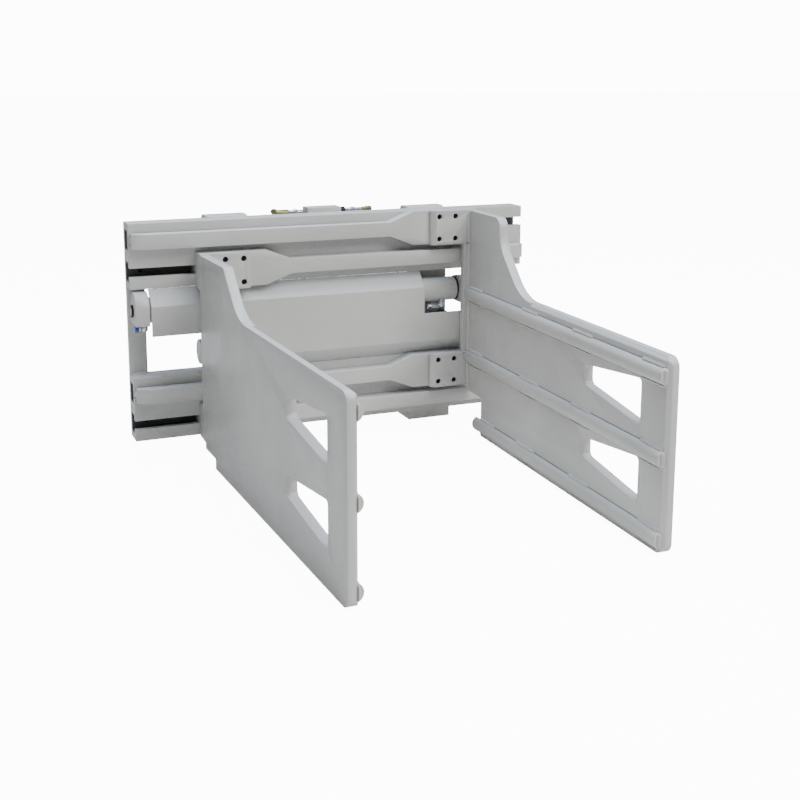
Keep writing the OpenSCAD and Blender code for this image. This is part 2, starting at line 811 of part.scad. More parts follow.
module rib(arm, i) {
    color(PAINT) on_side(arm) difference() {
        on_plate() translate([rib_start[i] - over, arm_top - rib_top - i * rib_pitch, 0]) difference() {
            translate([0, 0, rib_r - rib_h]) rotate([0, 90, 0])
                cylinder(h = reach - rib_tip_gap - rib_start[i] + over, r = rib_r);
            translate([-over, -2 * rib_r, 0]) cube([reach + over, 4 * rib_r, 4 * rib_r]);
        }
        translate([0, -block_front, -2 * arm_drop]) cube([opening, block_front + over, 2 * frame_h]);
    }
}

module bar_outline(z) {
    x0 = opening / 2 - bar_l;
    x1 = opening / 2 - flare_end;
    polygon([
        [x0, z - bar_h / 2], [x1, z - bar_h / 2], [x1 + flare_l, z - flare_h / 2], [block_x, z - flare_h / 2],
        [block_x, z + flare_h / 2], [x1 + flare_l, z + flare_h / 2], [x1, z + bar_h / 2], [x0, z + bar_h / 2]
    ]);
}

module bar(arm, i) {
    x0 = opening / 2 - bar_l;
    z = track_z(arm, i);
    color(PAINT) on_side(arm) difference() {
        union() {
            translate([0, -bar_gap, 0]) rotate([90, 0, 0]) linear_extrude(bar_t) bar_outline(z);
            span([x0, -bar_gap - over, z - bar_neck_h / 2], [block_x, head_y0 + over, z + bar_neck_h / 2]);
            span([x0, head_y0, z - head_h / 2], [block_x, head_y0 + head_d, z + head_h / 2]);
        }
        translate([0, 0, z - bar_h]) linear_extrude(2 * bar_h) polygon([
            [x0 - over, -bar_front - over], [x0 + bar_end_l, -bar_front - over],
            [x0 + bar_end_l, -bar_front], [x0, -bar_front + bar_end_d], [x0 - over, -bar_front + bar_end_d]
        ]);
        block_screw_holes(z);
    }
}

module block(arm, i) {
    z = track_z(arm, i);
    x0 = opening / 2 - block_l;
    color(PAINT) on_side(arm) difference() {
        translate([0, 0, z - block_h / 2]) linear_extrude(block_h) polygon([
            [x0, -bar_front], [x0, -block_front + block_chamfer], [x0 + block_chamfer, -block_front],
            [block_x, -block_front], [block_x, -bar_front]
        ]);
        block_screw_holes(z);
    }
}

// Positions of the four screws of a block whose middle is at height z
module at_block_screws(z) {
    for (dx = [0, 1], dz = [-1, 1])
        translate([opening / 2 - screw_in - dx * screw_pitch_x, 0, z + dz * screw_pitch_z / 2]) children();
}

screw_tip = -bar_gap - 6;
module block_screw_holes(z) {
    at_block_screws(z) {
        rod_y(0, -block_front - over, -block_front + bore_depth, 0, bore_d);
        rod_y(0, -block_front, screw_tip, 0, screw_d + 2 * shank_fit);
    }
}

module block_screws(arm) {
    head_y = -block_front + bore_depth;
    color(BLACK) on_side(arm) for (i = [0, 1]) at_block_screws(track_z(arm, i)) difference() {
        union() {
            rod_y(0, head_y - screw_d, head_y, 0, screw_head_d);
            rod_y(0, head_y - over, screw_tip - 1, 0, screw_d);
        }
        translate([0, head_y - screw_d / 2, 0]) rotate([90, 0, 0])
            cylinder(h = screw_d, d = 0.85 * screw_d, $fn = 6);
    }
}

module web(arm) {
    color(PAINT) on_side(arm) span(
        [opening / 2 - web_in, -block_front, track_z(arm, 1) + block_h / 2],
        [block_x, -block_front + web_d, track_z(arm, 0) - block_h / 2]
    );
}

function rod_z(arm) = mid_z + (arm == RIGHT ? 1 : -1) * cyl_pitch / 2;

module rod_lug(arm) {
    z = rod_z(arm);
    color(PAINT) on_side(arm) difference() {
        along_x(lug_x0, lug_x0 + rod_lug_t) union() {
            translate([-block_front + web_d, z - rod_lug_h / 2])
                square([block_front - web_d + cyl_y, rod_lug_h]);
            translate([cyl_y - over, z]) intersection() {
                circle(d = rod_lug_h);
                translate([0, -rod_lug_h / 2]) square([rod_lug_back + over, rod_lug_h]);
            }
        }
        rod_x(lug_x0 - over, lug_x0 + rod_lug_t + over, cyl_y, z, thread_d + 2 * shank_fit);
    }
}

module rod(arm) {
    color(CHROME) on_side(arm) {
        rod_x(piston_x + piston_t, lug_x0, cyl_y, rod_z(arm), rod_d);
        rod_x(piston_x + 2, nut_x + rod_nut_t - nut_floor_t, cyl_y, rod_z(arm), thread_d);
    }
}

module piston(arm) {
    x1 = piston_x + piston_t;
    color(STEEL) on_side(arm) difference() {
        rod_x(piston_x, x1, cyl_y, rod_z(arm), bore_cyl - 2 * running_fit);
        rod_x(piston_x + 2, x1 + over, cyl_y, rod_z(arm), thread_d + 2 * shank_fit);
    }
}

// Round nut, closed at its outer end
module rod_nut(arm) {
    floor_x = nut_x + rod_nut_t - nut_floor_t;
    color(PAINT) on_side(arm) difference() {
        rod_x(nut_x, nut_x + rod_nut_t, cyl_y, rod_z(arm), rod_nut_d);
        rod_x(nut_x - over, floor_x, cyl_y, rod_z(arm), thread_d + 2 * shank_fit);
    }
}

at_carriage() {
    rail(0);  // upper_rail
    rail(1);  // lower_rail
    upright(-1);  // left_upright
    upright(1);  // right_upright
    stile(-1);  // left_stile
    stile(1);  // right_stile
    upper_hook(-1);  // left_upper_hook
    upper_hook(1);  // right_upper_hook
    centring_lug();
    lower_hook(-1);  // left_lower_hook
    lower_hook(1);  // right_lower_hook
    lower_hook_bolts();
    liners(0);  // upper_rail_liners
    liners(1);  // lower_rail_liners
    liner_screws();
    cylinder_cover();
    cover_spacers();
    color(BLACK) cover_screw_set(0, 0);  // cover_screws
    base_bracket();  // upper_base_bracket
    half_turn() base_bracket();  // lower_base_bracket
    barrel();  // upper_barrel
    half_turn() barrel();  // lower_barrel
    gland();  // upper_gland
    half_turn() gland();  // lower_gland
    base_nuts();
    port_fittings();
    port_caps();
    manifold_block();
    manifold_screws();
    inlet_adapters();
    inlet_lock_ring();
    inlet_unions();
    plate(RIGHT);  // right_plate
    rib(RIGHT, 0);  // right_rib_top
    rib(RIGHT, 1);  // right_rib_middle
    rib(RIGHT, 2);  // right_rib_bottom
    bar(RIGHT, 0);  // right_upper_bar
    bar(RIGHT, 1);  // right_lower_bar
    block(RIGHT, 0);  // right_upper_block
    block(RIGHT, 1);  // right_lower_block
    block_screws(RIGHT);  // right_block_screws
    web(RIGHT);  // right_web
    rod_lug(RIGHT);  // right_rod_lug
    rod(RIGHT);  // right_rod
    piston(RIGHT);  // right_piston
    rod_nut(RIGHT);  // right_rod_nut
    plate(LEFT);  // left_plate
    rib(LEFT, 0);  // left_rib_top
    rib(LEFT, 1);  // left_rib_middle
    rib(LEFT, 2);  // left_rib_bottom
    bar(LEFT, 0);  // left_upper_bar
    bar(LEFT, 1);  // left_lower_bar
    block(LEFT, 0);  // left_upper_block
    block(LEFT, 1);  // left_lower_block
    block_screws(LEFT);  // left_block_screws
    web(LEFT);  // left_web
    rod_lug(LEFT);  // left_rod_lug
    rod(LEFT);  // left_rod
    piston(LEFT);  // left_piston
    rod_nut(LEFT);  // left_rod_nut
}
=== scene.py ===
"""Looks of a hydraulic bale clamp: finishes, eased edges, weld beads, light and camera.

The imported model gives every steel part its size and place. This script eases the edges of the painted
parts, lays the weld beads that join them, and gives every piece its finish. All lengths are in metres.
"""

from __future__ import annotations

import json
import logging
import math
from dataclasses import dataclass, field
from enum import Enum
from typing import Any, Sequence

import bmesh
import bpy
import numpy as np
from mathutils import Matrix, Vector

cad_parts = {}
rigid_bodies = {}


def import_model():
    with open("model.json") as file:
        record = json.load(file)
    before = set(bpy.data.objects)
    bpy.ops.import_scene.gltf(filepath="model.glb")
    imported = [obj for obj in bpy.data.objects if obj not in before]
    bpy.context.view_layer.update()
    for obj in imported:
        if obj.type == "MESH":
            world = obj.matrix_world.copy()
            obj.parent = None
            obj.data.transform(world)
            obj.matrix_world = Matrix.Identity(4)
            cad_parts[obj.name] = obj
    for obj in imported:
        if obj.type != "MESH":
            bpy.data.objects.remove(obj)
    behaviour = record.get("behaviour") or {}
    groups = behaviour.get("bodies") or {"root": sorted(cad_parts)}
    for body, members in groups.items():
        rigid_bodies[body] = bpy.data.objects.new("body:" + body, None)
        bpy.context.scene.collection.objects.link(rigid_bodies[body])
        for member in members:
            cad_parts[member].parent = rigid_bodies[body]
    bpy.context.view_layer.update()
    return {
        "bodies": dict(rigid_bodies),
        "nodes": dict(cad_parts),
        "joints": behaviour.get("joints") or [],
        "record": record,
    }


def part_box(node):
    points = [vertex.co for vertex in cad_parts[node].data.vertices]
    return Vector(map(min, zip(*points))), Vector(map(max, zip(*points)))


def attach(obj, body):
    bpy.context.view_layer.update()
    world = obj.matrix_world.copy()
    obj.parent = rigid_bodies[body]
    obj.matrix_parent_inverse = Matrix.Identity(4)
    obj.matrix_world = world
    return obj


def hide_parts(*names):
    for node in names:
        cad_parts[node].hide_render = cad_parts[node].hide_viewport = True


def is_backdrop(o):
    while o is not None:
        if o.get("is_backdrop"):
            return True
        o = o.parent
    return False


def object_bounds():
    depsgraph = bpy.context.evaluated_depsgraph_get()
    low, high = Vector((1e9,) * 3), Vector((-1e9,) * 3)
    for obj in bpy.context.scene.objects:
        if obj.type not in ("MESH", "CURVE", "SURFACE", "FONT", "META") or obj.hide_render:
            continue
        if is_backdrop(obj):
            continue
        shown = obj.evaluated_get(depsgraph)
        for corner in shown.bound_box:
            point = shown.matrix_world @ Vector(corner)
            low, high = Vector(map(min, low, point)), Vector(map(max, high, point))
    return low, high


LOG = logging.getLogger("bale_clamp")
MM = 0.001


# ---- Materials ----


def srgb(code: str) -> tuple[float, float, float, float]:
    """Turns an sRGB hex colour into linear RGBA.

    Args:
        code: The colour as six hex digits, with or without a leading hash.

    Returns:
        Linear red, green and blue with an alpha of one.
    """
    digits = code.lstrip("#")
    parts = [int(digits[i : i + 2], 16) / 255 for i in (0, 2, 4)]
    linear = [p / 12.92 if p <= 0.04045 else ((p + 0.055) / 1.055) ** 2.4 for p in parts]
    return (*linear, 1.0)


def add_node(
    tree: bpy.types.NodeTree, kind: str, links: dict[str | int, Any] | None = None, **settings: Any
) -> Any:
    """Adds one shader node with its settings and its inputs.

    Args:
        tree: The node tree to add to.
        kind: The node's type, such as ShaderNodeTexNoise.
        links: Input name to a value, or to the output socket that feeds it.
        settings: Properties of the node itself.

    Returns:
        The new node.
    """
    node = tree.nodes.new(kind)
    for name, value in settings.items():
        setattr(node, name, value)
    for name, value in (links or {}).items():
        if isinstance(value, bpy.types.NodeSocket):
            tree.links.new(value, node.inputs[name])
        else:
            node.inputs[name].default_value = value
    return node


def noise(tree: bpy.types.NodeTree, vector: Any, cell: float, detail: float = 2.0) -> Any:
    """Adds a noise pattern.

    Args:
        tree: The node tree to add to.
        vector: The socket with the coordinates.
        cell: Size of the pattern's blotches, in metres.
        detail: Octaves of finer noise.

    Returns:
        The socket of the noise value, from 0 to 1.
    """
    node = add_node(tree, "ShaderNodeTexNoise", {"Vector": vector, "Scale": 1 / cell, "Detail": detail})
    return node.outputs["Fac"]


def blend_colours(tree: bpy.types.NodeTree, factor: Any, first: Any, second: Any) -> Any:
    """Mixes two colours or colour sockets.

    Args:
        tree: The node tree to add to.
        factor: Value or socket, 0 for the first colour and 1 for the second.
        first: First colour or socket.
        second: Second colour or socket.

    Returns:
        The socket of the mixed colour.
    """
    node = tree.nodes.new("ShaderNodeMix")
    node.data_type = "RGBA"
    sockets = {s.identifier: s for s in node.inputs}
    pairs = (("Factor_Float", factor), ("A_Color", first), ("B_Color", second))
    for name, value in pairs:
        if isinstance(value, bpy.types.NodeSocket):
            tree.links.new(value, sockets[name])
        else:
            sockets[name].default_value = value
    return next(s for s in node.outputs if s.identifier == "Result_Color")


def ramp(
    tree: bpy.types.NodeTree, factor: Any, low: float, high: float, out: tuple[float, float] = (0, 1)
) -> Any:
    """Maps a value from low..high to out, clamped.

    Args:
        tree: The node tree to add to.
        factor: The socket with the value.
        low: Value that gives the first output.
        high: Value that gives the second output.
        out: The two outputs.

    Returns:
        The socket of the mapped value.
    """
    values = {"Value": factor, "From Min": low, "From Max": high, "To Min": out[0], "To Max": out[1]}
    return add_node(tree, "ShaderNodeMapRange", values).outputs["Result"]


@dataclass(frozen=True)
class Finish:
    """A surface finish: two tones, its gloss, and the size of its relief."""

    name: str
    tone: str
    second_tone: str
    roughness: tuple[float, float]
    metallic: float = 0.0
    coat: float = 0.0
    blotch: float = 0.25
    relief_cell: float = 0.003
    relief_depth: float = 0.00005
    relief_strength: float = 0.3

    CLOUD = (0.35, 0.65)
    CLOUD_DETAIL = 4.0
    GLOSS = (0.3, 0.7)
    GLOSS_CELLS = 6
    COAT_ROUGHNESS = 0.25

    def colour(self, tree: bpy.types.NodeTree, place: Any) -> Any:
        """Returns the socket with the finish's colour: the two tones in soft clouds."""
        cloud = ramp(tree, noise(tree, place, self.blotch, self.CLOUD_DETAIL), *self.CLOUD)
        return blend_colours(tree, cloud, srgb(self.tone), srgb(self.second_tone))

    def relief(self, tree: bpy.types.NodeTree, place: Any) -> Any:
        """Returns the socket with the height of the surface's relief."""
        return noise(tree, place, self.relief_cell, 2.0)

    def material(self) -> bpy.types.Material:
        """Builds the material, or returns it if it was built before."""
        known = bpy.data.materials.get(self.name)
        if known:
            return known
        made = bpy.data.materials.new(self.name)
        made.use_nodes = True
        tree = made.node_tree
        shader = tree.nodes["Principled BSDF"]
        place = add_node(tree, "ShaderNodeTexCoord").outputs["Object"]
        tree.links.new(self.colour(tree, place), shader.inputs["Base Color"])
        patches = noise(tree, place, self.blotch / self.GLOSS_CELLS, 3.0)
        gloss = ramp(tree, patches, *self.GLOSS, self.roughness)
        tree.links.new(gloss, shader.inputs["Roughness"])
        shader.inputs["Metallic"].default_value = self.metallic
        shader.inputs["Coat Weight"].default_value = self.coat
        shader.inputs["Coat Roughness"].default_value = self.COAT_ROUGHNESS
        links = {
            "Height": self.relief(tree, place),
            "Strength": self.relief_strength,
            "Distance": self.relief_depth,
        }
        bump = add_node(tree, "ShaderNodeBump", links)
        tree.links.new(bump.outputs["Normal"], shader.inputs["Normal"])
        return made


@dataclass(frozen=True)
class SprayedEnamel(Finish):
    """Grey machinery enamel sprayed on rolled steel: orange peel, faint runs, and painted light that makes
    top faces paler.
    """

    # Pale tone of the painted light that brightens faces pointing up
    painted_top_light: str = "#d3d9df"
    scuff: str = "#85827b"

    RUN_WIDTH = 12 * MM
    RUN_STRETCH = 0.12
    SPECK = 7 * MM
    WAVE = 45 * MM
    WAVE_HEIGHT = 4.0

    def colour(self, tree: bpy.types.NodeTree, place: Any) -> Any:
        """Returns the enamel's colour: soft clouds, upright runs, painted light that pales the top faces,
        and small scuffs.
        """
        base = super().colour(tree, place)
        upright = {"Vector": place, "Scale": (1.0, 1.0, self.RUN_STRETCH)}
        stretched = add_node(tree, "ShaderNodeMapping", upright).outputs["Vector"]
        runs = ramp(tree, noise(tree, stretched, self.RUN_WIDTH, 3.0), 0.52, 0.75, (0.0, 0.16))
        base = blend_colours(tree, runs, base, srgb(self.second_tone))
        # Painted light: faces that point up blend towards a pale tone, as if lit from above
        normal = add_node(tree, "ShaderNodeNewGeometry").outputs["Normal"]
        facing = add_node(tree, "ShaderNodeSeparateXYZ", {"Vector": normal})
        painted_top_light_mask = ramp(tree, facing.outputs["Z"], 0.45, 0.95, (0.0, 0.75))
        base = blend_colours(tree, painted_top_light_mask, base, srgb(self.painted_top_light))
        specks = ramp(tree, noise(tree, place, self.SPECK, 5.0), 0.72, 0.78, (0.0, 0.35))
        return blend_colours(tree, specks, base, srgb(self.scuff))

    def relief(self, tree: bpy.types.NodeTree, place: Any) -> Any:
        """Returns the height of the orange peel over the slow waves of rolled plate."""
        peel = noise(tree, place, self.relief_cell, 2.0)
        waves = noise(tree, place, self.WAVE, 1.0)
        scaled = add_node(tree, "ShaderNodeMath", {0: waves, 1: self.WAVE_HEIGHT}, operation="MULTIPLY")
        return add_node(tree, "ShaderNodeMath", {0: peel, 1: scaled.outputs[0]}, operation="ADD").outputs[0]


@dataclass(frozen=True)
class TurnedMetal(Finish):
    """Bare or plated metal with the fine rings of a lathe about the X axis."""

    ring: float = 0.0009

    def relief(self, tree: bpy.types.NodeTree, place: Any) -> Any:
        """Returns the height of tool marks that lie square to the X axis."""
        links = {"Vector": place, "Scale": 1 / (2 * math.pi * self.ring), "Distortion": 0.4, "Detail": 1.0}
        return add_node(tree, "ShaderNodeTexWave", links, bands_direction="X").outputs["Fac"]


# Two-part machinery enamel, sprayed over rolled steel: satin, with a fine orange peel
ENAMEL = SprayedEnamel("sprayed_grey_enamel", "#bbbab5", "#b0afab", (0.34, 0.46), coat=0.12, blotch=0.3)
# Filled nylon of the slide liners: dark and dull
NYLON = Finish("filled_nylon", "#444744", "#3c3f3d", (0.55, 0.7), blotch=0.04, relief_cell=0.0015)
# Black oxide on socket screws and nuts: dark with a low sheen
BLACK_OXIDE = Finish("black_oxide_steel", "#151516", "#232324", (0.32, 0.5), metallic=0.75, blotch=0.02)
# Hard chrome on the piston rods: ground and polished
CHROME = TurnedMetal(
    "hard_chrome", "#dfe2e4", "#d3d7da", (0.06, 0.13), metallic=1.0, blotch=0.1, relief_strength=0.05
)
# Turned bare steel: bright, with visible tool rings
TURNED = TurnedMetal("turned_steel", "#a9abac", "#97999b", (0.28, 0.4), metallic=1.0, blotch=0.05)
# Bright zinc on hydraulic adapters: silver with a blue cast
BRIGHT_ZINC = TurnedMetal(
    "bright_zinc_plate", "#c3c8cc", "#b2b8be", (0.22, 0.36), metallic=0.9, blotch=0.02
)
# Yellow chromate on hydraulic unions: olive with a dull iridescence
CHROMATE = TurnedMetal(
    "yellow_chromate_plate", "#8f8755", "#77744e", (0.3, 0.45), metallic=0.7, blotch=0.015
)
# Polythene transport caps: blue, waxy and moulded
POLYTHENE = Finish(
    "blue_polythene", "#2c4fa8", "#24449a", (0.3, 0.42), coat=0.2, blotch=0.02, relief_cell=0.001
)
# Painted shadow: dark strips stand for the shade inside the open joint between a rib and its plate where no
# weld fills it
JOINT_SHADE_PAINT = Finish("painted_joint_shadow", "#6b757e", "#5d676f", (0.7, 0.85), blotch=0.05)


class Slot(Enum):
    """Material slots of the record, each with its finish."""

    GREY_PAINT = ENAMEL
    LINER_POLYMER = NYLON
    BLACK_STEEL = BLACK_OXIDE
    CHROME_ROD = CHROME
    BARE_STEEL = TURNED
    SILVER_ZINC = BRIGHT_ZINC
    YELLOW_ZINC = CHROMATE
    BLUE_PLASTIC = POLYTHENE

    @classmethod
    def of(cls, name: str) -> "Slot":
        """Returns the slot of that name in the record."""
        return cls[name.upper()]


def dress(piece: bpy.types.Object, finish: Finish) -> None:
    """Gives a piece one finish all over."""
    piece.data.materials.clear()
    piece.data.materials.append(finish.material())


# ---- Meshes ----


def mesh_piece(
    name: str, points: np.ndarray, faces: Sequence[Sequence[int]], smooth: bool = True
) -> bpy.types.Object:
    """Makes an object at the origin from points and faces.

    Args:
        name: The piece's name.
        points: Vertices as an array of N rows and three columns.
        faces: Vertex numbers of each face.
        smooth: Whether the faces are shaded smooth.

    Returns:
        The new object, linked to the scene.
    """
    mesh = bpy.data.meshes.new(name)
    mesh.from_pydata(points.tolist(), [], [list(f) for f in faces])
    mesh.validate()
    mesh.polygons.foreach_set("use_smooth", np.full(len(mesh.polygons), smooth))
    mesh.update()
    piece = bpy.data.objects.new(name, mesh)
    bpy.context.scene.collection.objects.link(piece)
    return piece


MERGE_DIST = 2e-6
FLAT_ANGLE = math.radians(0.4)
EDGE_ANGLE = math.radians(32)


def face_outwards(piece: bpy.types.Object) -> None:
    """Turns all faces of a closed mesh outwards."""
    shape = bmesh.new()
    shape.from_mesh(piece.data)
    bmesh.ops.recalc_face_normals(shape, faces=shape.faces)
    shape.to_mesh(piece.data)
    shape.free()


def eased_copy(node: str, width: float, segments: int = 2) -> bpy.types.Object:
    """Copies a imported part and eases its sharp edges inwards.

    Args:
        node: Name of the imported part.
        width: Width of the eased edge.
        segments: Facets across the eased edge.

    Returns:
        A copy of the part, its triangles merged into whole faces and its edges rounded.
    """
    source = bpy.data.objects[node]
    shape = bmesh.new()
    shape.from_mesh(source.data)
    bmesh.ops.remove_doubles(shape, verts=shape.verts, dist=MERGE_DIST)
    bmesh.ops.dissolve_limit(
        shape, angle_limit=FLAT_ANGLE, verts=shape.verts, edges=shape.edges, delimit=set()
    )
    mesh = bpy.data.meshes.new(f"{node}_eased")
    shape.to_mesh(mesh)
    shape.free()
    mesh.polygons.foreach_set("use_smooth", np.full(len(mesh.polygons), True))
    piece = bpy.data.objects.new(f"{node}_eased", mesh)
    bpy.context.scene.collection.objects.link(piece)
    bevel = piece.modifiers.new("eased_edges", "BEVEL")
    bevel.width = width
    bevel.segments = segments
    bevel.limit_method = "ANGLE"
    bevel.angle_limit = EDGE_ANGLE
    bevel.harden_normals = True
    bevel.use_clamp_overlap = True
    return piece


@dataclass
class Bead:
    """One fillet weld along a corner: its path, the two faces it joins, and its leg."""

    path: np.ndarray
    side_a: np.ndarray
    side_b: np.ndarray
    leg: float
    seed: int = 0

    PROFILE = 7
    STEP = 0.0018
    RIPPLE = 0.0042
    RIPPLE_SWELL = 0.035
    ROOT_DEPTH = 0.4 * MM
    TAPER = 1.2

    def rings(self) -> np.ndarray:
        """Computes the bead's surface.

        The radius at angle t between the two faces is leg * (0.8 / (cos t + sin t) + 0.2), a slightly full
        fillet. Ripples swell it by a few percent every RIPPLE, a slow wander shifts it, and both ends taper
        as a quarter ellipse.

        Returns:
            Points as rings along the path: count, PROFILE + 1, 3. The last point of a ring is its root.
        """
        start, end = self.path[0], self.path[-1]
        length = float(np.linalg.norm(end - start))
        count = max(8, int(length / self.STEP))
        u = np.linspace(0, 1, count)
        along = start + np.outer(u, end - start)
        rng = np.random.default_rng(self.seed)
        phase = rng.uniform(0, 2 * math.pi, 3)
        travel = u * length
        wander = 0.05 * np.sin(travel / 0.031 + phase[0]) + 0.04 * np.sin(travel / 0.013 + phase[1])
        ripple = self.RIPPLE_SWELL * np.abs(np.sin(math.pi * travel / self.RIPPLE + phase[2]))
        near_end = np.minimum(travel, length - travel) / (self.TAPER * self.leg)
        taper = np.sqrt(np.clip(1 - (1 - np.clip(near_end, 0, 1)) ** 2, 0.02, 1))
        scale = self.leg * (1 + wander + ripple) * taper
        t = np.linspace(0, math.pi / 2, self.PROFILE)
        full = 0.8 / (np.cos(t) + np.sin(t)) + 0.2
        arc = np.outer(full * np.cos(t), self.side_a) + np.outer(full * np.sin(t), self.side_b)
        surface = along[:, None, :] + scale[:, None, None] * arc[None, :, :]
        root = along - self.ROOT_DEPTH * (self.side_a + self.side_b)
        return np.concatenate([surface, root[:, None, :]], axis=1)


def bead_mesh(name: str, beads: Sequence[Bead]) -> bpy.types.Object:
    """Joins weld beads into one piece.

    Args:
        name: The piece's name.
        beads: The beads to lay.

    Returns:
        One object whose shells are closed at both ends, with faces that point outwards.
    """
    points: list[np.ndarray] = []
    faces: list[list[int]] = []
    offset = 0
    for bead in beads:
        rings = bead.rings()
        count, around = rings.shape[:2]
        index = offset + np.arange(count * around).reshape(count, around)
        nxt = np.roll(index, -1, axis=1)
        quads = np.stack([index[:-1], nxt[:-1], nxt[1:], index[1:]], axis=-1).reshape(-1, 4)
        faces += quads.tolist()
        faces += [index[0][::-1].tolist(), index[-1].tolist()]
        points.append(rings.reshape(-1, 3))
        offset += count * around
    piece = mesh_piece(name, np.concatenate(points), faces)
    face_outwards(piece)
    return piece


# ---- Sub-assemblies ----


def unit(x: float, y: float, z: float) -> np.ndarray:
    """Returns the unit vector of that direction."""
    vector = np.array((x, y, z), float)
    return vector / np.linalg.norm(vector)


@dataclass
class SteelWork:
    """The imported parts: painted ones get eased edges, and all of them their finish."""

    frame: dict[str, Any]
    ease: float = 1.0 * MM
    wide_ease: float = 1.8 * MM
    fine_ease: float = 0.4 * MM
    wide: tuple[str, ...] = ("plate", "block", "bar", "rail", "hook")
    made: int = 0

    def slots(self) -> dict[str, Slot]:
        """Returns each node's material slot, from the record."""
        return {s["node"]: Slot.of(s["material_slot"]) for s in self.frame["record"]["subparts"]}

    def width(self, node: str, slot: Slot) -> float:
        """Returns how wide the edges of a part are eased."""
        if slot is not Slot.GREY_PAINT:
            return self.fine_ease
        return self.wide_ease if node.endswith(self.wide) else self.ease

    def build(self) -> None:
        """Eases the edges of each part with corners and dresses every part."""
        body_of = {n: b for b, ns in self.frame["record"]["behaviour"]["bodies"].items() for n in ns}
        plain = {Slot.LINER_POLYMER, Slot.CHROME_ROD}
        for node, slot in self.slots().items():
            dress(self.frame["nodes"][node], slot.value)
            if slot in plain:
                continue
            piece = eased_copy(node, self.width(node, slot))
            dress(piece, slot.value)
            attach(piece, body_of[node])
            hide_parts(node)
            self.made += 1
        LOG.info("eased %d parts", self.made)


